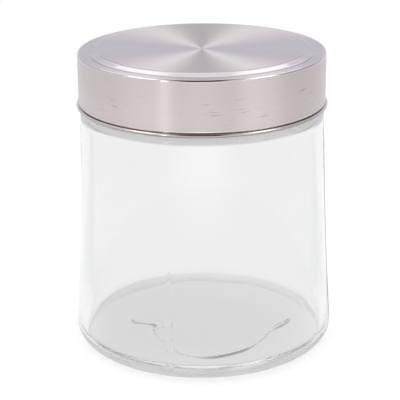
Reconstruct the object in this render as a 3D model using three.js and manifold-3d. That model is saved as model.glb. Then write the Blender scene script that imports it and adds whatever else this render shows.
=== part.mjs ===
// A clear glass jar with a brushed steel screw lid.
// Millimetres, +Z up. The origin is on the jar's axis, in the plane that the jar stands on.
import * as THREE from "three";
import { mergeVertices } from "three/addons/utils/BufferGeometryUtils.js";
import Module from "manifold-3d";

const wasm = await Module();
wasm.setup();

// Fineness: facets around the axis, and steps along each curve of an outline
const FACETS = 48;
const CURVE_STEPS = 3;

// Clearances
const SEAT_GAP = 0.3; // round pieces that are pressed or laid into each other
const THREAD_GAP = 0.4; // between the two threads, across and along the axis
const HEM_GAP = 0.4; // from the closed lid's hem down to the glass shoulder
const COLLAR_GAP = 0.9; // from the liner's collar out to the glass mouth

// Steel lid
const LID_RADIUS = 53; // outside of the straight wall
const LID_HEIGHT = 23.4; // from the hem's underside to the flat rim of the top
const SHEET = 0.5; // thickness of the steel
const RIM_ROUND = 0.9; // outside radius of the top edge
const PANEL_MARGIN = 4.6; // from the wall in to the foot of the raised panel
const PANEL_STEP = 3.6; // width of the slope up to the panel
const PANEL_RISE = 1.1; // height of the panel's edge above the rim
const PANEL_DISH = 0.8; // depth of the panel's middle below its edge
const BEAD_ROUND = 0.7; // outside radius of the rolled bead's section
const BEAD_PROUD = 1; // how far the bead stands out from the wall
const HEM_LENGTH = 2.4; // flat hem turned in under the liner
const GROOVE_DEPTH = 0.7; // crimped groove above the bead
const GROOVE_FOOT = 0.55; // height from the bead to the bottom of the groove
const GROOVE_HEAD = 0.9; // height from the bottom of the groove to the straight wall

// Plastic liner and seal
const LINER_WALL = 1.6;
const LINER_ROOF = 1.6;
const COLLAR_WALL = 1.4; // collar that holds the seal from the inside
const COLLAR_DEPTH = 3.2;
const SEAL_THICKNESS = 2;
const SEAL_EDGE = 0.4; // chamfer along the seal's edges

// Screw thread, right-handed, a single start
const THREAD_PITCH = 6;
const THREAD_TURNS = 1.25;
const THREAD_HEIGHT = 1.6; // how far the glass ridge stands out from the neck
const THREAD_ROOT = 3; // width of a ridge at its foot
const THREAD_CREST = 1.2; // width of a ridge at its top
const THREAD_DROP = 4.9; // from the mouth's rim down to the top end of the glass ridge
const THREAD_SINK = 0.5; // how deep a ridge is rooted in its wall
const THREAD_FADE = 0.08; // turns over which a ridge rises and fades out
const THREAD_LAG = 0.08; // turns by which the liner's ridge starts before the glass one

// Glass jar
const SHOULDER_HEIGHT = 105.8; // flat shoulder under the lid
const SHOULDER_INSET = 0.45; // how far the top of the glass wall lies inside the lid's wall
const SHOULDER_ROUND = 2.9;
const NECK_WALL = 3.1;
const NECK_ROUND = 0.8; // fillet between shoulder and neck
const LIP_ROUND = 1; // rounded edges of the mouth's rim
const FLARE = 4.35; // growth of the outer radius from shoulder to heel
const FLARE_EASE = 1.03; // part of the flare that the curve's middle control point holds
const HEEL_ROUND = 7.5;
const WALL_TOP = 5; // thickness of the glass wall below the shoulder
const WALL_BASE = 5.2; // thickness of the glass wall above the floor
const FLOOR_HEIGHT = 6.3;
const FLOOR_ROUND = 0.8; // inner corner between floor and wall
const BEARING_WIDTH = 10.2; // flat ring that the jar stands on
const PUNT_DEPTH = 0.4; // height of the shallow dome under the floor

// Radii, from the outside in
const LINER_OUTER = LID_RADIUS - SHEET - SEAT_GAP;
const LINER_INNER = LINER_OUTER - LINER_WALL;
const NECK_RADIUS = LINER_INNER - THREAD_GAP - THREAD_HEIGHT;
const MOUTH_RADIUS = NECK_RADIUS - NECK_WALL;
const COLLAR_OUTER = MOUTH_RADIUS - COLLAR_GAP;
const SHOULDER_RADIUS = LID_RADIUS - SHOULDER_INSET;
const BASE_RADIUS = SHOULDER_RADIUS + FLARE;

// Levels, from the shoulder up
const HEM_LEVEL = SHOULDER_HEIGHT + HEM_GAP;
const RIM_LEVEL = HEM_LEVEL + LID_HEIGHT;
const ROOF_LEVEL = RIM_LEVEL - SHEET;
const SEAL_LEVEL = ROOF_LEVEL - LINER_ROOF;
const MOUTH_LEVEL = SEAL_LEVEL - SEAL_THICKNESS;
const WALL_LEVEL = SHOULDER_HEIGHT - SHOULDER_ROUND;

// Middle of the steel sheet, and the groove's levels along it
const HALF_SHEET = SHEET / 2;
const WALL_MIDDLE = LID_RADIUS - HALF_SHEET;
const GROOVE_MIDDLE = WALL_MIDDLE - GROOVE_DEPTH;
const BEAD_MIDDLE = BEAD_ROUND - HALF_SHEET;
const BEAD_CENTRE = LID_RADIUS + BEAD_PROUD - BEAD_ROUND;
const BEAD_LEVEL = HEM_LEVEL + BEAD_ROUND;
const GROOVE_LEVEL = BEAD_LEVEL + BEAD_MIDDLE + GROOVE_FOOT;
const CRIMP_LEVEL = GROOVE_LEVEL + GROOVE_HEAD;

const QUARTER = Math.PI / 2;

// Points along a path, without the repeated ones where an arc meets a line.
function pointsOf(path) {
  const tolerance = 1e-6;
  const points = path.getPoints(CURVE_STEPS);
  return points.filter((point, i) => i === 0 || point.distanceTo(points[i - 1]) > tolerance);
}

// Turns an outline of (radius, height) points about the Z axis.
function turned(outline) {
  const geometry = new THREE.LatheGeometry(outline, FACETS);
  return geometry.rotateX(QUARTER);
}

// Outline of a sheet whose middle line ends on the axis: along the inner side to its tip, then back outside.
function sheetOutline(middle, thickness) {
  const last = middle.length - 1;
  const beyondAxis = new THREE.Vector2(-middle[last - 1].x, middle[last - 1].y);
  const beyondTip = middle[0].clone().multiplyScalar(2).sub(middle[1]);
  const line = [beyondTip, ...middle, beyondAxis];
  const offset = (distance) =>
    middle.map((point, i) => {
      const arriving = point.clone().sub(line[i]).normalize();
      const leaving = line[i + 2].clone().sub(point).normalize();
      const along = arriving.clone().add(leaving).normalize();
      const mitre = distance / along.dot(leaving);
      return new THREE.Vector2(point.x + along.y * mitre, point.y - along.x * mitre);
    });
  return [...offset(-thickness / 2).reverse(), ...offset(thickness / 2)];
}

// A closed helical ridge on a wall of the given radius, standing outwards (+1) or inwards (-1).
function ridge(wallRadius, height, startLevel, startTurn, direction) {
  const steps = Math.round(THREAD_TURNS * FACETS);
  const foot = wallRadius - direction * THREAD_SINK;
  const slope = (THREAD_ROOT - THREAD_CREST) / 2 / height;
  const footHalf = THREAD_ROOT / 2 + slope * THREAD_SINK;
  const positions = [];
  for (let i = 0; i <= steps; i++) {
    const turn = startTurn + (i / steps) * THREAD_TURNS;
    const toEnd = (Math.min(i, steps - i) / steps) * THREAD_TURNS;
    const fade = Math.min(1, toEnd / THREAD_FADE);
    const crest = foot + direction * (THREAD_SINK / 2 + (height + THREAD_SINK / 2) * fade);
    const level = startLevel + (turn - startTurn) * THREAD_PITCH;
    const angle = turn * 2 * Math.PI;
    const section = [
      [foot, -footHalf],
      [crest, -THREAD_CREST / 2],
      [crest, THREAD_CREST / 2],
      [foot, footHalf],
    ];
    if (direction < 0) section.reverse();
    for (const [radius, rise] of section)
      positions.push(radius * Math.cos(angle), radius * Math.sin(angle), level + rise);
  }
  const index = [0, 1, 2, 0, 2, 3];
  for (let i = 0; i < steps; i++)
    for (let corner = 0; corner < 4; corner++) {
      const a = i * 4 + corner;
      const b = i * 4 + ((corner + 1) % 4);
      index.push(a, a + 4, b, b, a + 4, b + 4);
    }
  const end = steps * 4;
  index.push(end, end + 2, end + 1, end, end + 3, end + 2);
  const geometry = new THREE.BufferGeometry();
  geometry.setAttribute("position", new THREE.Float32BufferAttribute(positions, 3));
  return geometry.setIndex(index);
}

// A geometry as a solid for joining.
function solidOf(geometry) {
  const bare = geometry.clone();
  bare.deleteAttribute("normal");
  bare.deleteAttribute("uv");
  const merged = mergeVertices(bare, 1e-3);
  const vertProperties = new Float32Array(merged.attributes.position.array);
  const triVerts = new Uint32Array(merged.index.array);
  return new wasm.Manifold(new wasm.Mesh({ numProp: 3, vertProperties, triVerts }));
}

// Two geometries joined into one closed body.
function joined(first, second) {
  const { vertProperties, triVerts } = solidOf(first).add(solidOf(second)).getMesh();
  const geometry = new THREE.BufferGeometry();
  geometry.setAttribute("position", new THREE.BufferAttribute(vertProperties, 3));
  geometry.setIndex(new THREE.BufferAttribute(triVerts, 1));
  geometry.computeVertexNormals();
  return geometry;
}

// The glass: push-up, bearing ring, heel, flared wall, shoulder, neck, and back down the inside.
function jarBody() {
  const bearingInner = BASE_RADIUS - HEEL_ROUND - BEARING_WIDTH;
  const flareMiddle = (HEEL_ROUND + WALL_LEVEL) / 2;
  const innerTop = SHOULDER_RADIUS - WALL_TOP;
  const innerBase = BASE_RADIUS - WALL_BASE;
  const innerLevel = WALL_LEVEL - WALL_TOP;
  const throatMiddle = (SHOULDER_HEIGHT + innerLevel) / 2;
  const cornerLevel = FLOOR_HEIGHT + FLOOR_ROUND;
  const innerEase = SHOULDER_RADIUS + FLARE_EASE - (WALL_TOP + WALL_BASE) / 2;
  const outline = new THREE.Path()
    .moveTo(0, PUNT_DEPTH)
    .quadraticCurveTo(bearingInner / 2, PUNT_DEPTH, bearingInner, 0)
    .absarc(BASE_RADIUS - HEEL_ROUND, HEEL_ROUND, HEEL_ROUND, -QUARTER, 0)
    .quadraticCurveTo(SHOULDER_RADIUS + FLARE_EASE, flareMiddle, SHOULDER_RADIUS, WALL_LEVEL)
    .absarc(SHOULDER_RADIUS - SHOULDER_ROUND, WALL_LEVEL, SHOULDER_ROUND, 0, QUARTER)
    .lineTo(NECK_RADIUS + NECK_ROUND, SHOULDER_HEIGHT)
    .quadraticCurveTo(NECK_RADIUS, SHOULDER_HEIGHT, NECK_RADIUS, SHOULDER_HEIGHT + NECK_ROUND)
    .lineTo(NECK_RADIUS, MOUTH_LEVEL - LIP_ROUND)
    .quadraticCurveTo(NECK_RADIUS, MOUTH_LEVEL, NECK_RADIUS - LIP_ROUND, MOUTH_LEVEL)
    .lineTo(MOUTH_RADIUS + LIP_ROUND, MOUTH_LEVEL)
    .quadraticCurveTo(MOUTH_RADIUS, MOUTH_LEVEL, MOUTH_RADIUS, MOUTH_LEVEL - LIP_ROUND)
    .lineTo(MOUTH_RADIUS, SHOULDER_HEIGHT)
    .bezierCurveTo(MOUTH_RADIUS, throatMiddle, innerTop, throatMiddle, innerTop, innerLevel)
    .quadraticCurveTo(innerEase, (innerLevel + cornerLevel) / 2, innerBase, cornerLevel)
    .absarc(innerBase - FLOOR_ROUND, cornerLevel, FLOOR_ROUND, 0, -QUARTER, true)
    .lineTo(0, FLOOR_HEIGHT);
  const thread = ridge(NECK_RADIUS, THREAD_HEIGHT, glassThreadLevel(), 0, 1);
  return joined(turned(pointsOf(outline)), thread);
}

// Level of the lower end of the glass ridge's middle line.
function glassThreadLevel() {
  return MOUTH_LEVEL - THREAD_DROP - THREAD_TURNS * THREAD_PITCH;
}

// The steel cap: hem, bead, groove, wall, rounded edge, rim and dished panel, along the middle of the sheet.
function lidShell() {
  const top = RIM_LEVEL - HALF_SHEET;
  const rimMiddle = RIM_ROUND - HALF_SHEET;
  const panelFoot = LID_RADIUS - PANEL_MARGIN;
  const panelEdge = panelFoot - PANEL_STEP;
  const stepMiddle = (panelFoot + panelEdge) / 2;
  const beadTop = BEAD_LEVEL + BEAD_MIDDLE;
  const crimpMiddle = (GROOVE_LEVEL + CRIMP_LEVEL) / 2;
  const panelMiddle = top + PANEL_RISE - PANEL_DISH;
  const middle = new THREE.Path()
    .moveTo(BEAD_CENTRE - HEM_LENGTH, HEM_LEVEL + HALF_SHEET)
    .lineTo(BEAD_CENTRE, HEM_LEVEL + HALF_SHEET)
    .absarc(BEAD_CENTRE, BEAD_LEVEL, BEAD_MIDDLE, -QUARTER, QUARTER)
    .quadraticCurveTo(GROOVE_MIDDLE, beadTop, GROOVE_MIDDLE, GROOVE_LEVEL)
    .bezierCurveTo(GROOVE_MIDDLE, crimpMiddle, WALL_MIDDLE, crimpMiddle, WALL_MIDDLE, CRIMP_LEVEL)
    .absarc(WALL_MIDDLE - rimMiddle, RIM_LEVEL - RIM_ROUND, rimMiddle, 0, QUARTER)
    .lineTo(panelFoot, top)
    .bezierCurveTo(stepMiddle, top, stepMiddle, top + PANEL_RISE, panelEdge, top + PANEL_RISE)
    .quadraticCurveTo(panelEdge / 2, panelMiddle, 0, panelMiddle);
  return turned(sheetOutline(pointsOf(middle), SHEET));
}

// The liner: roof, collar, threaded wall, and a foot drawn in to pass the crimped groove.
function lidInsert() {
  const collarInner = COLLAR_OUTER - COLLAR_WALL;
  const collarLevel = SEAL_LEVEL - COLLAR_DEPTH;
  const footRadius = GROOVE_MIDDLE - HALF_SHEET - SEAT_GAP;
  const footLevel = HEM_LEVEL + SHEET + SEAT_GAP;
  const ledge = LINER_OUTER - footRadius;
  const ledgeLevel = CRIMP_LEVEL + SEAT_GAP;
  const outline = new THREE.Path()
    .moveTo(0, SEAL_LEVEL)
    .lineTo(collarInner, SEAL_LEVEL)
    .lineTo(collarInner, collarLevel)
    .lineTo(COLLAR_OUTER, collarLevel)
    .lineTo(COLLAR_OUTER, SEAL_LEVEL)
    .lineTo(LINER_INNER, SEAL_LEVEL)
    .lineTo(LINER_INNER, footLevel)
    .lineTo(footRadius, footLevel)
    .lineTo(footRadius, ledgeLevel)
    .lineTo(LINER_OUTER, ledgeLevel + ledge)
    .lineTo(LINER_OUTER, ROOF_LEVEL - RIM_ROUND)
    .quadraticCurveTo(LINER_OUTER, ROOF_LEVEL, LINER_OUTER - RIM_ROUND, ROOF_LEVEL)
    .lineTo(0, ROOF_LEVEL);
  const height = LINER_INNER - NECK_RADIUS - THREAD_GAP;
  const flankToFlank = (THREAD_ROOT + THREAD_CREST) / 2 + THREAD_GAP;
  const startLevel = glassThreadLevel() - flankToFlank - THREAD_LAG * THREAD_PITCH;
  const thread = ridge(LINER_INNER, height, startLevel, -THREAD_LAG, -1);
  return joined(turned(pointsOf(outline)), thread);
}

// The seal: a flat ring between the liner's collar and wall, lying on the mouth's rim.
function lidSeal() {
  const inner = COLLAR_OUTER + SEAT_GAP;
  const outer = LINER_INNER - SEAT_GAP;
  const outline = new THREE.Path()
    .moveTo(inner, MOUTH_LEVEL + SEAL_EDGE)
    .lineTo(inner + SEAL_EDGE, MOUTH_LEVEL)
    .lineTo(outer - SEAL_EDGE, MOUTH_LEVEL)
    .lineTo(outer, MOUTH_LEVEL + SEAL_EDGE)
    .lineTo(outer, SEAL_LEVEL - SEAL_EDGE)
    .lineTo(outer - SEAL_EDGE, SEAL_LEVEL)
    .lineTo(inner + SEAL_EDGE, SEAL_LEVEL)
    .lineTo(inner, SEAL_LEVEL - SEAL_EDGE)
    .lineTo(inner, MOUTH_LEVEL + SEAL_EDGE);
  return turned(pointsOf(outline));
}

function named(name, geometry, material) {
  const mesh = new THREE.Mesh(geometry, new THREE.MeshStandardMaterial(material));
  mesh.name = name;
  return mesh;
}

const clearGlass = { color: 0xeef2f0, roughness: 0.03, metalness: 0, transparent: true, opacity: 0.35 };
const brushedSteel = { color: 0xcbc4c3, roughness: 0.32, metalness: 1 };
const whitePlastic = { color: 0xe8e7e3, roughness: 0.5, metalness: 0 };
const clearSilicone = { color: 0xdfe0dc, roughness: 0.6, metalness: 0 };

const lid = new THREE.Group();
lid.add(named("lid_shell", lidShell(), brushedSteel));
lid.add(named("lid_insert", lidInsert(), whitePlastic));
lid.add(named("lid_seal", lidSeal(), clearSilicone));

const jar = new THREE.Group();
jar.add(named("jar_body", jarBody(), clearGlass));
jar.add(lid);

export default jar;
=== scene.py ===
# %% [markdown]
# # A glass jar with a brushed steel screw lid
#
# The jar is a thick pressed glass body, closed by a lid of drawn and brushed steel. A plastic liner with
# the thread sits in the steel, and a soft ring in the liner lies on the glass rim.
# All four pieces are round, so each one is a section that is carried round the upright axis.
# The imported model gives the frame first: its bodies.

import math

import bpy
import numpy as np
from mathutils import Matrix, Vector


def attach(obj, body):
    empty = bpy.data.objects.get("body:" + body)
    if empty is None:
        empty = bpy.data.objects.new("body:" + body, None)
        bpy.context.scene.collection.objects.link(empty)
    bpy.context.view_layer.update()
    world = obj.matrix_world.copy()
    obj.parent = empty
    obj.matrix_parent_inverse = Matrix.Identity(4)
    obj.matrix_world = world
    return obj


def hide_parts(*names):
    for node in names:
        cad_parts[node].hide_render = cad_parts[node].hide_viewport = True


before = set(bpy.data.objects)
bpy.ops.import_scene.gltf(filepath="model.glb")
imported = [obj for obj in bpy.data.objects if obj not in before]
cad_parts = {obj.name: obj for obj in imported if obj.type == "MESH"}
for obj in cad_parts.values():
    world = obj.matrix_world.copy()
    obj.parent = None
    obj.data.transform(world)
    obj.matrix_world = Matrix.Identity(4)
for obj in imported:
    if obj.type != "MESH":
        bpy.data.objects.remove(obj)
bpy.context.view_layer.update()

# %% [markdown]
# ## Sections
#
# A section is a list of (radius, height) points in millimetres. It is put together from straight lines,
# arcs and curves, as on a drawing. Each kind of stretch is one short formula on a whole array of steps.
# Blender's own curves could draw them too, but numbers in an array are easier to carry round an axis.

# %% Stretches of a section
MM = 0.001
TURN = 2 * np.pi
TOUCH = 0.01  # a point this near to a wall, in millimetres, lies on it
SEEN_COLUMNS, HIDDEN_COLUMNS = 256, 192  # round the axis, for pieces that show and pieces under the lid


def line(start, end):
    """The two ends of a straight stretch. Points between them are put in later."""
    return np.array([start, end], float)


def arc(centre, radius, first, last, steps=14):
    """Part of a circle: centre + radius (cos a, sin a), with a in degrees from first to last."""
    a = np.radians(np.linspace(first, last, steps + 1))
    return np.asarray(centre, float) + radius * np.stack([np.cos(a), np.sin(a)], axis=1)


def curve(*handles, steps=14):
    """A Bezier curve of three or four points: the sum of each point times its Bernstein weight."""
    t = np.linspace(0, 1, steps + 1)[:, None]
    n = len(handles) - 1
    weights = [math.comb(n, k) * t**k * (1 - t) ** (n - k) for k in range(n + 1)]
    return sum(w * np.asarray(h, float) for w, h in zip(weights, handles))


def section(*stretches, step):
    """Stretches end to end, with extra points at every multiple of `step` along the whole length."""
    points = np.concatenate(stretches)
    length = np.concatenate([[0], np.cumsum(np.hypot(*np.diff(points, axis=0).T))])
    places = np.unique(np.round(np.concatenate([length, np.arange(0, length[-1], step)]), 3))
    places = np.append(places[:-1], length[-1])
    return np.stack([np.interp(places, length, points[:, k]) for k in (0, 1)], axis=1)


# %% [markdown]
# ## Turning a section on the axis
#
# A lathe does on a bench what this function does on a grid: rows run along the section, columns run round
# the axis. The Spin operator or a Screw modifier would give the same shape, but here a whole grid can also
# be pushed in and out before it becomes a mesh, which the screw threads and the uneven glass need.

# %% A lathe for sections
def lathe(name, outline, columns, mould=None):
    """Row i and column j of the grid are (r cos a, r sin a, z), with a = 2 pi j / columns.

    mould(r, z, a) may change r and z for the whole grid at once. The last column meets the first. A section
    that starts and ends on the axis gets one point at each end with a fan of triangles, and a section that
    ends where it started closes into a ring."""
    ring = np.allclose(outline[0], outline[-1], atol=1e-6)
    rows = outline[:-1] if ring else outline[1:-1]
    r, z = (np.repeat(rows[:, k : k + 1], columns, axis=1) for k in (0, 1))
    a = np.broadcast_to(TURN * np.arange(columns) / columns, r.shape)
    if mould:
        r, z = mould(r, z, a)
    points = np.stack([r * np.cos(a), r * np.sin(a), z], axis=-1).reshape(-1, 3)
    index = np.arange(len(points)).reshape(r.shape)
    lower, upper = (index, np.roll(index, -1, axis=0)) if ring else (index[:-1], index[1:])
    beside = lambda row: np.roll(row, -1, axis=-1)
    faces = np.stack([lower, beside(lower), beside(upper), upper], axis=-1).reshape(-1, 4).tolist()
    if not ring:
        first, last = len(points), len(points) + 1
        tips = np.array([[0, 0, outline[0, 1]], [0, 0, outline[-1, 1]]])
        points = np.concatenate([points, tips])
        hub = np.full(columns, first)
        faces += np.stack([hub, beside(index[0]), index[0]], axis=1).tolist()
        faces += np.stack([index[-1], beside(index[-1]), hub - first + last], axis=1).tolist()
    mesh = bpy.data.meshes.new(name)
    mesh.from_pydata((points * MM).tolist(), [], faces)
    mesh.shade_smooth()
    piece = bpy.data.objects.new(name, mesh)
    bpy.context.scene.collection.objects.link(piece)
    triangles = sum(len(face) - 2 for face in faces)
    print(f"{name}: {len(points)} points, {triangles} triangles")
    return piece


# %% [markdown]
# ## The thread
#
# The glass neck has one raised ridge that climbs to the right, and the liner has the ridge that runs under
# it. A ridge could be a swept tube joined to the neck, but a join leaves a hard seam in clear glass.
# Here the wall itself swells: the function says how far it stands out at each height and angle.

# %% Height of a helical ridge
THREAD_PITCH = 6.0
THREAD_TURNS = 1.25
THREAD_ROOT = 3.0
THREAD_CREST = 1.2
THREAD_FADE = 0.08
THREAD_HEIGHT = 1.6


def smooth(t):
    """A soft step from 0 to 1: 3 t^2 - 2 t^3, with t held between 0 and 1."""
    t = np.clip(t, 0, 1)
    return t * t * (3 - 2 * t)


def ridge(z, a, start_level, start_turn):
    """How far a ridge stands out: its full height where z is within half its crest of the line
    start_level + pitch x turns, down to nothing at half its root. It fades in and out at its ends, and the
    strongest of the turns that pass an angle counts."""
    turn = a / TURN + np.arange(-1, 3).reshape(-1, 1, 1) - start_turn
    off = np.abs(z - start_level - THREAD_PITCH * turn)
    flank = smooth((THREAD_ROOT / 2 - off) / ((THREAD_ROOT - THREAD_CREST) / 2))
    ends = smooth(turn / THREAD_FADE) * smooth((THREAD_TURNS - turn) / THREAD_FADE)
    return THREAD_HEIGHT * (flank * ends).max(axis=0)


# %% [markdown]
# ## The glass body
#
# The section runs from the middle of the push-up underneath, over the ring that the jar stands on, up the
# flared wall and the neck, and down the inside to the floor. It is one closed skin, because light has to
# enter and leave the glass through it.
# Pressed glass is never quite even. The floor and the inner wall get shallow waves, which bend the light, and
# the underside gets a wavy crease, where the hot glass folded as it met the mould. A texture could draw such
# a line, but only a real groove bends the light that crosses it, so the rows are close together there.

# %% Glass section, outside
SHOULDER, SHOULDER_ROUND = 105.8, 2.9
WALL_TOP_RADIUS, BASE_RADIUS, FLARE_EASE = 52.55, 56.9, 1.03
HEEL = 7.5
NECK, NECK_EASE = 48.6, 0.8
RING_INNER, PUNT = 39.2, 0.4
FINE_FROM, FINE_TO, FINE_STEP, WIDE_STEP = 24, 46, 0.3, 4
WALL_STEP = 2.5
wall_level = SHOULDER - SHOULDER_ROUND

underside = section(
    section(line((0, 0), (FINE_FROM, 0)), step=WIDE_STEP),
    section(line((FINE_FROM + FINE_STEP, 0), (FINE_TO, 0)), step=FINE_STEP),
    step=WIDE_STEP,
)
underside[0] = (0, PUNT)
outside = section(
    line((FINE_TO + FINE_STEP, 0), (BASE_RADIUS - HEEL, 0)),
    arc((BASE_RADIUS - HEEL, HEEL), HEEL, -90, 0, 20),
    curve(
        (BASE_RADIUS, HEEL),
        (WALL_TOP_RADIUS + FLARE_EASE, (HEEL + wall_level) / 2),
        (WALL_TOP_RADIUS, wall_level),
    ),
    arc((WALL_TOP_RADIUS - SHOULDER_ROUND, wall_level), SHOULDER_ROUND, 0, 90),
    curve((NECK + NECK_EASE, SHOULDER), (NECK, SHOULDER), (NECK, SHOULDER + NECK_EASE), steps=6),
    step=WALL_STEP,
)
print("underside:", len(underside), "points, outside:", len(outside), "points")

# %% Glass section, neck and inside
MOUTH, RIM, RIM_EASE = 45.5, 125.45, 1
FLOOR, FLOOR_ROUND = 6.3, 0.8
WALL_TOP, WALL_BASE = 5.0, 5.2
inner_top, inner_base = WALL_TOP_RADIUS - WALL_TOP, BASE_RADIUS - WALL_BASE
inner_level, corner = wall_level - WALL_TOP, FLOOR + FLOOR_ROUND
throat = (SHOULDER + inner_level) / 2
inner_flare = WALL_TOP_RADIUS + FLARE_EASE - (WALL_TOP + WALL_BASE) / 2

neck = section(
    line((NECK, SHOULDER + 1), (NECK, RIM - RIM_EASE)),
    curve((NECK, RIM - RIM_EASE), (NECK, RIM), (NECK - RIM_EASE, RIM), steps=8),
    curve((MOUTH + RIM_EASE, RIM), (MOUTH, RIM), (MOUTH, RIM - RIM_EASE), steps=8),
    step=FINE_STEP,
)
inside = section(
    line((MOUTH, RIM - 2 * RIM_EASE), (MOUTH, SHOULDER)),
    curve((MOUTH, SHOULDER), (MOUTH, throat), (inner_top, throat), (inner_top, inner_level)),
    curve((inner_top, inner_level), (inner_flare, (inner_level + corner) / 2), (inner_base, corner)),
    arc((inner_base - FLOOR_ROUND, corner), FLOOR_ROUND, 0, -90),
    line((inner_base - FLOOR_ROUND, FLOOR), (0, FLOOR)),
    step=WALL_STEP,
)
glass_section = np.concatenate([underside, outside, neck, inside])
print("glass section:", len(glass_section), "points")

# %% The line of the crease
CREASE_RADIUS = 33.3
CREASE_WAVES = [(4.6, 3, 0.75 * TURN), (4.2, 1, 0), (0.7, 7, 1 - TURN / 4)]
CREASE_BEND, BEND_ANGLE, BEND_WIDTH = 10.6, 3.264, 0.21
THICK_STROKES = [(1, 5.0, 0.3), (0.7, 3.3, 0.15), (0.6, 6.1, 0.12)]
WEAK_ANGLE, WEAK_WIDTH = 3.98, 0.3


def crease_line(a, bend, cosine):
    """Radius of the crease at angle a: a ring plus waves size x cos(count a + start), and one steep bend,
    CREASE_BEND b / (1 + b^2)^2, where b is the angle from the bend's middle in bend widths."""
    waves = sum(size * cosine(count * a + start) for size, count, start in CREASE_WAVES)
    return CREASE_RADIUS + waves + CREASE_BEND * bend / (1 + bend * bend) ** 2


def hump(t, middle, width):
    """A soft hump with the height 1: exp(-((t - middle) / width)^2)."""
    return np.exp(-(((t - middle) / width) ** 2))


def crease_depth(r, a):
    """How far the groove reaches up into the glass. It is a hump across the crease line, on the front half
    only, wide and deep where the stroke is thick and shallow where it is weak. Each thick stroke is a hump
    with its share, its angle and its width."""
    line_at = crease_line(a, (BEND_ANGLE - a) / BEND_WIDTH, np.cos)
    thick = sum(share * hump(a, middle, width) for share, middle, width in THICK_STROKES)
    weak = 1 - 0.5 * hump(a, WEAK_ANGLE, WEAK_WIDTH)
    front = smooth((0.1 - np.sin(a)) / 0.2)
    return (0.6 + 0.5 * thick) * weak * front * hump(r, line_at, 0.5 + thick)


# %% Glass piece
GLASS_THREAD_LEVEL = 113.1
WAVE_TOP, WAVE_FADE, THROAT_FADE, SWELL_REACH = 70, 40, 45, 40
row = np.arange(len(glass_section))[1:-1, None]
in_cavity = row >= len(glass_section) - len(inside)
below_floor = row < len(underside)


def mould_glass(r, z, a):
    """The thread on the neck, the push-up and the crease underneath, and the slight waves of the inside.

    The thread is added to the neck's radius. The push-up is a dome, PUNT (1 - (r / R)^2) inside the ring.
    The waves, sums of sines of angle and height that reach 0.13 mm at most, lie on the floor and the lower
    wall. They fade out towards the top and the middle."""
    on_neck = (np.abs(r - NECK) < TOUCH) & ~in_cavity
    r = r + on_neck * ridge(z, a, GLASS_THREAD_LEVEL, 0)
    wave = 0.06 * np.sin(6 * a + 0.11 * z + 0.5) + 0.03 * np.sin(13 * a - 0.2 * z + 2)
    low = smooth((wall_level - z) / THROAT_FADE) * smooth((WAVE_TOP - z) / WAVE_FADE)
    r = r + in_cavity * np.clip(r / inner_base, 0, 1) ** 2 * wave * low
    dome = PUNT * np.clip(1 - r / RING_INNER, 0, 1) * (1 + r / RING_INNER)
    z = z + below_floor * (dome + crease_depth(r, a))
    on_floor = in_cavity * smooth((corner - z) / FLOOR_ROUND)
    swell = 0.08 * np.sin(2 * a + 0.6 + 0.05 * r) + 0.05 * np.sin(5 * a + 0.12 * r)
    z = z + on_floor * swell * smooth(r / SWELL_REACH)
    return r, z


glass_body = lathe("glass_body", glass_section, SEEN_COLUMNS, mould_glass)
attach(glass_body, "jar")
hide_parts("jar_body")

# %% [markdown]
# ## The steel shell
#
# The lid is drawn from one sheet: a hem under the liner, a rolled bead, a crimped groove that holds the
# liner, the straight wall, a tight round and the low panel on top.
# The outer skin is drawn in full, because it is the one that shows. The inner skin follows it half a
# millimetre further in. A Solidify modifier could make it, but the narrow groove is tighter than the sheet
# is thick.

# %% Steel section
LID_RADIUS, SHEET = 53.0, 0.5
HEM_LEVEL, RIM_LEVEL, RIM_ROUND = 106.2, 129.6, 0.9
HEM_INNER, BEAD, BEAD_CENTRE = 50.9, 0.7, 53.3
GROOVE, LIP, CRIMP = 52.35, 0.3, 0.75
PANEL_FOOT, PANEL_EDGE, PANEL_RISE, PANEL_DISH, PANEL_BEND = 48.4, 44.8, 1.1, 0.8, 0.9
SHEET_STEP = 1.5
bead_level = HEM_LEVEL + BEAD
lip_level = bead_level + BEAD + CRIMP
panel_top = RIM_LEVEL + PANEL_RISE


def lid_top(drop):
    """From the rim's edge to the axis: a flat rim, a sloping step with tight bends and a dished panel, all
    lowered by `drop`."""
    low, high = RIM_LEVEL - drop, panel_top - drop
    foot, edge, middle = (PANEL_FOOT, low), (PANEL_EDGE, high), high - PANEL_DISH
    return section(
        line((LID_RADIUS - RIM_ROUND, low), foot),
        curve(foot, (PANEL_FOOT - PANEL_BEND, low), (PANEL_EDGE + PANEL_BEND, high), edge, steps=24),
        curve(edge, (PANEL_EDGE / 2, middle), (0, middle), steps=20),
        step=SHEET_STEP,
    )


outer_skin = section(
    line((HEM_INNER, HEM_LEVEL), (BEAD_CENTRE, HEM_LEVEL)),
    arc((BEAD_CENTRE, bead_level), BEAD, -90, 110, 24),
    curve(
        (BEAD_CENTRE - 0.24, bead_level + 0.658),
        (GROOVE, bead_level + CRIMP),
        (GROOVE, lip_level - LIP),
        (LID_RADIUS - LIP - 0.05, lip_level - LIP),
        steps=12,
    ),
    arc((LID_RADIUS - LIP, lip_level), LIP, -90, 0, 8),
    arc((LID_RADIUS - RIM_ROUND, RIM_LEVEL - RIM_ROUND), RIM_ROUND, 0, 90, 14),
    step=SHEET_STEP,
)
inner_skin = section(
    line((HEM_INNER, HEM_LEVEL + SHEET), (GROOVE - SHEET, HEM_LEVEL + SHEET)),
    line((GROOVE - SHEET, lip_level - LIP), (LID_RADIUS - SHEET, lip_level + LIP)),
    arc((LID_RADIUS - RIM_ROUND, RIM_LEVEL - RIM_ROUND), RIM_ROUND - SHEET, 0, 90, 8),
    step=SHEET_STEP,
)
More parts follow.
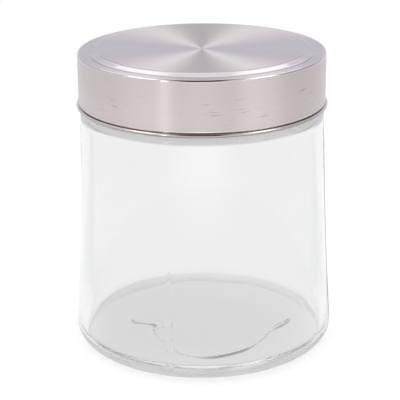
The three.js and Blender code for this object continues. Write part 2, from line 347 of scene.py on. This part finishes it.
steel_section = np.concatenate([lid_top(SHEET)[::-1], inner_skin[::-1], outer_skin, lid_top(0)])
steel_shell = lathe("steel_shell", steel_section, SEEN_COLUMNS)
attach(steel_shell, "lid")
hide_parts("lid_shell")

# %% [markdown]
# ## The liner and the seal
#
# The liner is moulded from white plastic: a roof, a collar that keeps the seal in place, and a wall with the
# inner thread. Moulded edges are always a little round, so every corner of the two sections is eased.
# A Bevel modifier would do that on a mesh. On a section it is one formula for all corners at once.

# %% Eased corners
def eased(corners, ease, steps=5):
    """Each corner C gives way to the curve (1-t)^2 A + 2 t (1-t) C + t^2 B, where A and B lie at the distance
    `ease` before and after it on its two sides. The first and last points stay."""
    corners = np.asarray(corners, float)
    sides = np.diff(corners, axis=0)
    sides /= np.linalg.norm(sides, axis=1, keepdims=True)
    c = corners[1:-1, None]
    a, b = c - ease * sides[:-1, None], c + ease * sides[1:, None]
    t = np.linspace(0, 1, steps + 1)[None, :, None]
    rounds = (1 - t) ** 2 * a + 2 * t * (1 - t) * c + t**2 * b
    return np.concatenate([corners[:1], rounds.reshape(-1, 2), corners[-1:]])


# %% Liner
LINER_OUTER, LINER_INNER, LINER_FOOT = 52.2, 50.6, 51.5
COLLAR_OUTER, COLLAR_INNER, COLLAR_DEPTH = 44.6, 43.2, 3.2
ROOF, ROOF_CHAMFER, SEAL_LEVEL = 129.0, 0.8, 127.5
FOOT_LEVEL, LEDGE_LEVEL = 107.0, 109.1
LINER_THREAD_LEVEL, LINER_THREAD_TURN = 110.12, -0.08
LINER_EASE, LINER_STEP = 0.25, 0.6
liner_corners = [
    (0, SEAL_LEVEL),
    (COLLAR_INNER, SEAL_LEVEL),
    (COLLAR_INNER, SEAL_LEVEL - COLLAR_DEPTH),
    (COLLAR_OUTER, SEAL_LEVEL - COLLAR_DEPTH),
    (COLLAR_OUTER, SEAL_LEVEL),
    (LINER_INNER, SEAL_LEVEL),
    (LINER_INNER, FOOT_LEVEL),
    (LINER_FOOT, FOOT_LEVEL),
    (LINER_FOOT, LEDGE_LEVEL),
    (LINER_OUTER, LEDGE_LEVEL + LINER_OUTER - LINER_FOOT),
    (LINER_OUTER, ROOF - ROOF_CHAMFER),
    (LINER_OUTER - ROOF_CHAMFER, ROOF),
    (0, ROOF),
]


def mould_liner(r, z, a):
    """The inner thread: the ridge stands inwards from the inner wall, so its height comes off the radius."""
    on_wall = (np.abs(r - LINER_INNER) < TOUCH) & (z < SEAL_LEVEL)
    return r - on_wall * ridge(z, a, LINER_THREAD_LEVEL, LINER_THREAD_TURN), z


liner_section = section(eased(liner_corners, LINER_EASE), step=LINER_STEP)
liner = lathe("liner", liner_section, HIDDEN_COLUMNS, mould_liner)
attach(liner, "lid")
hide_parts("lid_insert")

# %% Seal
SEAL_INNER, SEAL_OUTER, SEAL_FOOT, SEAL_TOP = 44.9, 50.3, 125.5, 127.4
SEAL_EASE, SEAL_STEP = 0.4, 1
seal_start = ((SEAL_INNER + SEAL_OUTER) / 2, SEAL_FOOT)
seal_corners = [
    seal_start,
    (SEAL_OUTER, SEAL_FOOT),
    (SEAL_OUTER, SEAL_TOP),
    (SEAL_INNER, SEAL_TOP),
    (SEAL_INNER, SEAL_FOOT),
    seal_start,
]
seal = lathe("seal", section(eased(seal_corners, SEAL_EASE), step=SEAL_STEP), HIDDEN_COLUMNS)
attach(seal, "seal")
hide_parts("lid_seal")

# %% [markdown]
# ## Node trees as sums
#
# A finish is a tree of nodes. Written out one link at a time it is long, so a value from a node is wrapped in
# a small class: +, -, * and / between values add Math nodes, and one method adds every other node.
# Whatever is the same all over a piece is set on the shader's own socket and is not part of such a sum.

# %% Values
class Value:
    """A socket that takes part in sums. Each operator adds one Math node to the socket's own tree."""

    def __init__(self, socket):
        self.socket = socket

    def math(self, operation, first, second=0.0):
        tree = Tree(self.socket.id_data)
        return tree.node("ShaderNodeMath", {"operation": operation}, {0: first, 1: second})

    def __add__(self, other):
        return self.math("ADD", self, other)

    def __sub__(self, other):
        return self.math("SUBTRACT", self, other)

    def __rsub__(self, other):
        return self.math("SUBTRACT", other, self)

    def __mul__(self, other):
        return self.math("MULTIPLY", self, other)

    def __truediv__(self, other):
        return self.math("DIVIDE", self, other)

    def __pow__(self, other):
        return self.math("POWER", self, other)

    __radd__ = __add__
    __rmul__ = __mul__

    def step(self, low, high):
        """0 below `low`, 1 above `high`, and a soft step between; `low` may be the larger one."""
        settings = {"interpolation_type": "SMOOTHSTEP"}
        if low < high:
            ends = {1: low, 2: high, 3: 0.0, 4: 1.0}
        else:
            ends = {1: high, 2: low, 3: 1.0, 4: 0.0}
        return Tree(self.socket.id_data).node("ShaderNodeMapRange", settings, {0: self, **ends})

    def band(self, start, full, fading, end):
        """0 up to `start`, 1 from `full` to `fading`, 0 again from `end` on, with soft steps between."""
        return self.step(start, full) * self.step(end, fading)


# %% Nodes
class Tree:
    """The nodes of one finish. node() adds a node: its settings, then the values or links of its sockets."""

    def __init__(self, graph):
        self.graph = graph

    def node(self, kind, settings=None, inputs=None, out=0):
        node = self.graph.nodes.new(kind)
        for name, value in (settings or {}).items():
            setattr(node, name, value)
        for name, value in (inputs or {}).items():
            socket = node.inputs[name]
            if isinstance(value, Value):
                self.graph.links.new(value.socket, socket)
            elif isinstance(value, tuple) and len(value) == 3 and len(socket.default_value) == 4:
                socket.default_value = (*value, 1.0)
            else:
                socket.default_value = value
        return Value(node.outputs[out])


def mix(tree, factor, first, second):
    """One colour at 0, the other at 1, and the blend of both between."""
    return tree.node("ShaderNodeMix", {"data_type": "RGBA"}, {0: factor, 6: first, 7: second}, out=2)


def blend(tree, factor, first, second):
    """One shader at 0, the other at 1, and the blend of both between."""
    return tree.node("ShaderNodeMixShader", None, {0: factor, 1: first, 2: second})


def glow(tree, colour):
    """A surface that shows this colour and nothing else."""
    return tree.node("ShaderNodeEmission", None, {"Color": colour, "Strength": 1.0})


def grey(level):
    """The same level of red, green and blue."""
    return (level, level, level)


def place(tree, kind="Object"):
    """Where a point of the piece is: the whole vector, then its x, y and z."""
    where = tree.node("ShaderNodeTexCoord", out=kind)
    parts = tree.node("ShaderNodeSeparateXYZ", None, {0: where}).socket.node.outputs
    return where, *(Value(part) for part in parts)


def noise(tree, where, scale, detail):
    """Soft noise around 0.5, with `scale` lumps to the metre and `detail` finer layers."""
    return tree.node("ShaderNodeTexNoise", None, {"Vector": where, "Scale": scale, "Detail": detail})


def bump(tree, height, strength, distance, **more):
    """A normal that leans as if the skin had this height."""
    inputs = {"Strength": strength, "Distance": distance, "Height": height, **more}
    return tree.node("ShaderNodeBump", None, inputs)


def angle_of(y, x):
    """The angle of the direction (x, y), in radians."""
    return y.math("ARCTAN2", y, x)


def rays(tree):
    """1 for rays from the eye, for mirrored rays and for bent rays, each as a value of its own."""
    kinds = ("Is Camera Ray", "Is Glossy Ray", "Is Transmission Ray")
    return [tree.node("ShaderNodeLightPath", out=kind) for kind in kinds]


# %% Finishes
def finish_for(name):
    """A new material with an empty tree, and its output node."""
    material = bpy.data.materials.new(name)
    material.use_nodes = True
    material.node_tree.nodes.clear()
    output = material.node_tree.nodes.new("ShaderNodeOutputMaterial")
    return material, Tree(material.node_tree), output


def put(piece, material, tree, surface, output):
    """The surface goes to the output, and the piece wears this material and no other."""
    tree.graph.links.new(surface.socket, output.inputs["Surface"])
    piece.data.materials.clear()
    piece.data.materials.append(material)
    print(f"{piece.name}: {material.name}, {len(tree.graph.nodes)} nodes")


# %% [markdown]
# ## Brushed steel
#
# The lid was brushed while it turned, so fine lines run round it: rings on top, hoops on the wall. Two things
# show that. The shader's anisotropy stretches each highlight across the lines, which gives the bright fan on
# the panel. And a noise that is long round the axis and short across it makes the lines that are coarse
# enough to see. Its coordinates are the direction round the axis and the distance along the sheet, height
# minus radius.
# Edges that are handled get smoother: the round, the bead and the front of the step shine more. Shade is
# painted into the colour: dark in the groove, along the front edges of the step and on the lower bead and the
# hem, and the wall is painted paler towards its foot, so the top panel reads darker. A picture could hold all
# this, but sums of places stay sharp.

# %% Lines of the brush
steel, tree, output = finish_for("brushed_steel_lid")
where, x, y, z = place(tree)
radius = (x * x + y * y) ** 0.5
across = z - radius


def hoops(lines_per_mm, length):
    """Noise in hoops: (cos a, sin a) / length, and the distance along the sheet times the number of lines."""
    round_axis = {0: x / radius * (1 / length), 1: y / radius * (1 / length)}
    spot = tree.node("ShaderNodeCombineXYZ", None, {**round_axis, 2: across * (1000 * lines_per_mm)})
    return noise(tree, spot, 1.0, 2.0)


fine = hoops(5.0, 0.12)
broad = hoops(0.6, 0.5)
patches = hoops(0.15, 0.4).step(0.46, 0.6)
scuffed = hoops(1.5, 0.12).step(0.60, 0.70) * patches * z.band(0.110, 0.113, 0.122, 0.125)
print("brush lines:", len(tree.graph.nodes), "nodes")

# %% Steel finish
STEEL_DULL, STEEL_PALE = (0.59, 0.545, 0.535), (0.64, 0.595, 0.585)
# The dark colour after SCUFF is painted shade, not dirt.
SCUFF, PAINTED_SHADE_COLOUR = (0.27, 0.23, 0.22), (0.12, 0.11, 0.11)
on_round = z.step(RIM_LEVEL * MM - 0.0011, RIM_LEVEL * MM - 0.0008) * radius.step(0.0519, 0.0522)
on_step = radius.band(0.0440, 0.0446, 0.0484, 0.0490) * z.step(0.128, 0.129)
on_bead = z.step(0.1088, 0.1084)
polished = on_round * 1.4 + on_step * y.step(-0.004, -0.022) * 1.2 + on_bead * 1.2
in_groove = z.band(0.1073, 0.1076, 0.1081, 0.1083) * radius.step(0.0530, 0.0527)
on_edges = radius.band(0.0445, 0.0447, 0.0449, 0.0451) + radius.band(0.0480, 0.0483, 0.0485, 0.0488)
on_hem = z.step(0.1073, 0.1067)
# Painted shade: dark in the groove, along the front edges of the step only, and on the lower bead and the
# hem.
painted_shade = in_groove * 0.45 + on_edges * y.step(-0.008, -0.020) * 0.8 + on_hem * 0.6
# Brush noise and scuffs vary the tone. The height step paints the wall paler towards its foot and leaves the
# top panel darker: painted light.
brush_wear_and_painted_light = fine * 0.5 + broad * 0.5 + z.step(0.130, 0.106) * 0.6 - scuffed * 0.8
tone = mix(tree, brush_wear_and_painted_light, STEEL_DULL, STEEL_PALE)
tone = mix(tree, scuffed * 0.3, tone, SCUFF)
tone = mix(tree, painted_shade, tone, PAINTED_SHADE_COLOUR)
brushed = tree.node(
    "ShaderNodeBsdfPrincipled",
    None,
    {
        "Base Color": tone,
        "Metallic": 1.0,
        "Roughness": (0.42 + (fine - 0.5) * 0.06) * (1 - polished * 0.55),
        "Anisotropic": 0.9,
        "Anisotropic Rotation": 0.25,
        "Normal": bump(tree, fine + broad * 0.6, 0.04, 0.0002),
    },
)
put(steel_shell, steel, tree, brushed, output)

# %% [markdown]
# ## Clear glass
#
# Glass bends light, so the shader transmits it at an index of 1.5. The faint green of bottle glass only shows
# along a thick edge, so the colour sits in the volume, which takes a little light per millimetre.
# For shadow rays the glass is simply clear: real bent light would need very many samples to arrive below.
# The skin is not perfect. The press leaves very shallow waves, the halves of the mould leave an upright seam
# that is too fine for the mesh, the heel is frosted, and hands leave a little haze. The shoulder under the
# lid and the bottom of the crease lie in their own shade, so they get a darker tone.

# %% Skin of the glass
SEAM, SEAM_HALF, SEAM_DEPTH = -1.825, 0.035, 0.0003
glass, tree, output = finish_for("clear_jar_glass")
where, x, y, height = place(tree)
radius = (x * x + y * y) ** 0.5
angle = angle_of(y, x)
seam = angle.band(SEAM - SEAM_HALF, SEAM, SEAM, SEAM + SEAM_HALF)
seam = seam * radius.step(0.0532, 0.0536) * height.step(0.055, 0.035)
skin = bump(tree, noise(tree, where, 45.0, 1.0), 0.05, 0.001, Normal=bump(tree, seam, 1.0, SEAM_DEPTH))
haze = noise(tree, where, 25.0, 3.0).step(0.55, 0.8)
frosted = height.step(0.0085, 0.0060) * radius.step(0.0500, 0.0515)
print("glass skin:", len(tree.graph.nodes), "nodes")


# %% Shade in the crease
def cosine_node(a):
    """The cosine of an angle, as a node."""
    return a.math("COSINE", a)


from_left = angle_of(0 - y, 0 - x)
line_at = crease_line(angle, (BEND_ANGLE - math.pi - from_left) / BEND_WIDTH, cosine_node)
thick = angle.band(-1.75, -1.4, -1.15, -0.8) + angle.step(-2.75, -2.95) * 0.7
thick = thick + angle.band(-0.4, -0.2, 0.0, 0.1) * 0.6
weak = 1 - 0.6 * angle.band(-2.65, -2.5, -2.05, -1.9)
beside = radius.math("ABSOLUTE", radius * 1000 - line_at) / (0.35 + 1.1 * thick)
below = height.step(0.003, 0.002) * y.step(0.004, -0.002)
creased = beside.step(1.6, 0.8) * below * (0.55 + 0.45 * thick) * weak
print("glass with its crease:", len(tree.graph.nodes), "nodes")

# %% Glass finish
CLEAR, SHADED, DARK = (0.988, 0.988, 0.99), grey(0.5), grey(0.1)
PASSING, TINT = (0.87, 0.875, 0.875), (0.42, 0.54, 0.52)
under_lid = height.band(0.1022, 0.1032, 0.1060, 0.1066)
clear = tree.node(
    "ShaderNodeBsdfPrincipled",
    None,
    {
        "Base Color": mix(tree, creased, mix(tree, under_lid, CLEAR, SHADED), DARK),
        "Roughness": haze * 0.03 + frosted * 0.4,
        "IOR": 1.5,
        "Transmission Weight": 1.0,
        "Normal": skin,
    },
)
shadow_ray = tree.node("ShaderNodeLightPath", out="Is Shadow Ray")
passing = tree.node("ShaderNodeBsdfTransparent", None, {"Color": PASSING})
both = blend(tree, shadow_ray, clear, passing)
tint = tree.node("ShaderNodeVolumeAbsorption", None, {"Color": TINT, "Density": 0.6})
tree.graph.links.new(tint.socket, output.inputs["Volume"])
put(glass_body, glass, tree, both, output)

# %% [markdown]
# ## Plastic and silicone
#
# The liner is white plastic straight from its mould, with a fine even grain. The seal is milky silicone,
# which lets a little light in, so it gets some scattering below its skin.
# Both only show when the lid is off, and they are finished all the same.

# %% Liner finish
PLASTIC_DULL, PLASTIC_PALE = (0.82, 0.82, 0.80), (0.88, 0.88, 0.865)
plastic, tree, output = finish_for("white_liner_plastic")
where = tree.node("ShaderNodeTexCoord", out="Object")
grain = noise(tree, where, 2500.0, 2.0)
moulded = tree.node(
    "ShaderNodeBsdfPrincipled",
    None,
    {
        "Base Color": mix(tree, noise(tree, where, 60.0, 3.0), PLASTIC_DULL, PLASTIC_PALE),
        "Roughness": 0.42 + (grain - 0.5) * 0.15,
        "Normal": bump(tree, grain, 0.12, 0.0001),
        "Subsurface Weight": 0.1,
        "Subsurface Radius": grey(0.002),
    },
)
put(liner, plastic, tree, moulded, output)

# %% Seal finish
MILK_DULL, MILK_PALE = (0.78, 0.80, 0.78), (0.86, 0.87, 0.85)
silicone, tree, output = finish_for("milky_silicone")
where = tree.node("ShaderNodeTexCoord", out="Object")
dust = noise(tree, where, 900.0, 3.0)
milky = tree.node(
    "ShaderNodeBsdfPrincipled",
    None,
    {
        "Base Color": mix(tree, noise(tree, where, 120.0, 2.0), MILK_DULL, MILK_PALE),
        "Roughness": 0.5 + dust.step(0.5, 0.8) * 0.2,
        "Normal": bump(tree, dust, 0.1, 0.0001),
        "Subsurface Weight": 0.3,
        "Subsurface Radius": grey(0.003),
    },
)
put(seal, silicone, tree, milky, output)

# %% [markdown]
# ## Floor
#
# The floor is white paper. To the eye it has a plain white glow, so that it runs into the background without
# an edge, but close to the jar part of that white is lit by the lamps. That part keeps the shadow.
# Mirrors also see a brighter patch in front of the jar, which the wall of the lid shows, and a grey card
# behind it on the right, which draws the right edge of the glass.
# Light that was bent by the glass sees a painted shadow: darker under the jar, most of all to the left, and a
# little darker to both sides behind it. For light that bounces on, the floor is plain matte paper.

# %% Floor sheet
FLOOR_HALF, FLOOR_LEVEL = 6.0, -0.0003
corners = [(sx * FLOOR_HALF, sy * FLOOR_HALF, FLOOR_LEVEL) for sx, sy in ((-1, -1), (1, -1), (1, 1), (-1, 1))]
floor_mesh = bpy.data.meshes.new("floor")
floor_mesh.from_pydata(corners, [], [(0, 1, 2, 3)])
floor = bpy.data.objects.new("floor", floor_mesh)
bpy.context.scene.collection.objects.link(floor)
print("floor:", 2 * FLOOR_HALF, "m wide")

# %% Paper for the eye and for mirrors
SUNNY, CARD_GREY = (2.3, 2.25, 2.2), (0.36, 0.39, 0.38)
paper, tree, output = finish_for("white_paper")
where, x, y, _ = place(tree)
away = tree.node("ShaderNodeVectorMath", {"operation": "LENGTH"}, {0: where}, out="Value")
from_eye, mirrored, bent = rays(tree)
sunlit = x.band(-0.25, -0.03, 0.03, 0.25) * y.band(-0.9, -0.7, -0.35, -0.2)
far = glow(tree, mix(tree, sunlit, grey(1.0), SUNNY))
lit = tree.node("ShaderNodeBsdfDiffuse", None, {"Color": grey(0.5)})
near = tree.node("ShaderNodeAddShader", None, {0: glow(tree, grey(0.575)), 1: lit})
shown = blend(tree, away.step(0.2, 0.45), near, far)
card = x.step(0.047, 0.055) * (x - y * 0.3).step(0.066, 0.056) * y.band(0.0, 0.02, 0.27, 0.32)
shown = blend(tree, card * mirrored, shown, glow(tree, CARD_GREY))
print("paper for the eye:", len(tree.graph.nodes), "nodes")

# %% Paper for bent light
# Painted shadow: the paper seen through the glass is darker under the jar, most of all to the left, and a
# little darker to both sides behind it.
UNDER_MIDDLE, UNDER_EDGE, UNDER_LEFT = grey(0.635), grey(0.69), grey(0.6)
BEYOND, BESIDE = grey(0.89), (0.80, 0.81, 0.81)
to_side = x.math("ABSOLUTE", angle_of(x, y))
tone = mix(tree, away.step(0.02, 0.055), UNDER_MIDDLE, UNDER_EDGE)
tone = mix(tree, away.step(0.047, 0.07), tone, BEYOND)
tone = mix(tree, x.step(0.0, -0.04) * away.step(0.065, 0.055) * 0.6, tone, UNDER_LEFT)
tone = mix(tree, to_side.step(0.78, 0.84) * away.step(0.09, 0.12), tone, BESIDE)
shown = blend(tree, bent, shown, glow(tree, tone))
matte = tree.node("ShaderNodeBsdfDiffuse", None, {"Color": grey(0.8)})
paper.cycles.emission_sampling = "NONE"
put(floor, paper, tree, blend(tree, from_eye + mirrored + bent, matte, shown), output)

# %% [markdown]
# ## Studio
#
# The room is white for the eye and an even pale grey for bent light. Steel mirrors a room with more in it:
# warm in front of the jar and cooler behind, with a darker card on the right, a bright patch high at the
# back and a dark strip overhead, which draws the dark line along the lid's front edge. For matte surfaces
# the room is a soft even light. A picture of a real studio would do as well, but these few patches can be
# moved one by one.

# %% Room
WARM, COOL, ROOM_CARD = (0.97, 0.955, 0.94), (0.78, 0.78, 0.875), (0.3, 0.25, 0.235)
BRIGHT, DARK_STRIP = (1.25, 1.26, 1.35), (0.04, 0.035, 0.035)
world = bpy.data.worlds.new("studio")
bpy.context.scene.world = world
world.use_nodes = True
world.node_tree.nodes.clear()
tree = Tree(world.node_tree)
_, dx, dy, dz = place(tree, "Generated")
bearing = angle_of(dx, 0 - dy)
in_line = dx.band(-0.4, -0.18, 0.18, 0.4)
right_card = bearing.band(1.25, 1.5, 2.1, 2.5) * dz.band(-0.05, 0.05, 0.6, 0.8)
high_back = in_line * dy.step(0.35, 0.5) * dz.step(0.36, 0.5)
overhead = in_line * dz.step(0.4, 0.5) * dy.step(0.45, 0.3)
room = mix(tree, dy.step(-0.3, 0.7), WARM, COOL)
room = mix(tree, right_card * 0.5, room, ROOM_CARD)
room = mix(tree, high_back, room, BRIGHT)
room = mix(tree, overhead, room, DARK_STRIP)
from_eye, mirrored, bent = rays(tree)
colour = mix(tree, mirrored, grey(0.85), room)
colour = mix(tree, bent, colour, BEYOND)
colour = mix(tree, from_eye, colour, grey(1.0))
background = tree.node("ShaderNodeBackground", None, {"Color": colour, "Strength": 1.0})
world_output = world.node_tree.nodes.new("ShaderNodeOutputWorld")
world.node_tree.links.new(background.socket, world_output.inputs["Surface"])
world.cycles.sampling_method = "NONE"
print("room:", len(world.node_tree.nodes), "nodes")

# %% [markdown]
# ## Lamps
#
# Two wide softboxes stand high on the left and right of the jar, and two weaker ones behind it spread the fan
# on the panel. A narrow strip left of the camera makes the pale band on the lid and the thin streak on the
# glass, and a low fill on the right lifts the wall of the lid. Each is given by the brightness of its white
# front, because that is what steel reflects: the power of a flat lamp is pi times its area times that
# brightness.

# %% Softboxes
AIM = Vector((0, 0, 0.07))


def softbox(name, bearing, height, distance, size, brightness):
    """A flat lamp that faces the jar, `bearing` degrees right of the camera and `height` degrees up."""
    lamp = bpy.data.lights.new(name, "AREA")
    lamp.shape = "RECTANGLE"
    lamp.size, lamp.size_y = size
    lamp.energy = math.pi * size[0] * size[1] * brightness
    b, h = math.radians(bearing), math.radians(height)
    away = Vector((math.sin(b) * math.cos(h), -math.cos(b) * math.cos(h), math.sin(h)))
    box = bpy.data.objects.new(name, lamp)
    box.location = AIM + away * distance
    box.rotation_euler = away.to_track_quat("Z", "Y").to_euler()
    box.visible_camera = False
    box.visible_transmission = False
    bpy.context.scene.collection.objects.link(box)
    print(f"{name}: {lamp.energy:.1f} W")


softbox("left_box", -70, 50, 1.3, (0.6, 0.45), 2.2)
softbox("right_box", 72, 50, 1.3, (0.45, 0.45), 2.9)
softbox("back_left", -144, 50, 1.3, (0.5, 0.5), 0.65)
softbox("back_right", 144, 50, 1.3, (0.5, 0.5), 0.7)
softbox("strip", -33, 12, 1.2, (0.10, 0.6), 3.1)
softbox("right_fill", 42, 8, 1.3, (0.35, 0.25), 1.2)

# %% [markdown]
# ## Camera
#
# The camera stands a little above the lid and looks down at the jar. Its place and its long lens were worked
# out from the outlines of the jar, so the picture lines up without any shift of the lens.
# Light crosses the thick glass many times, so more bounces are allowed than usual.

# %% Camera
EYE = Vector((0.0, -0.58379, 0.26668))
DOWN, LEFT, TILT = 0.33781, 0.00209, -0.00802
camera_data = bpy.data.cameras.new("camera")
camera_data.sensor_width = 36.0
camera_data.lens = 126.0
camera = bpy.data.objects.new("camera", camera_data)
looking = Matrix.Rotation(LEFT, 4, "Z") @ Matrix.Rotation(math.pi / 2 - DOWN, 4, "X")
camera.matrix_world = Matrix.Translation(EYE) @ looking @ Matrix.Rotation(TILT, 4, "Z")
scene = bpy.context.scene
scene.collection.objects.link(camera)
scene.camera = camera
scene.view_settings.view_transform = "Standard"
scene.cycles.max_bounces = 64
scene.cycles.glossy_bounces = 40
scene.cycles.transmission_bounces = 40
print(f"camera: {camera_data.lens:.0f} mm lens, {EYE.length:.2f} m from the foot of the jar")
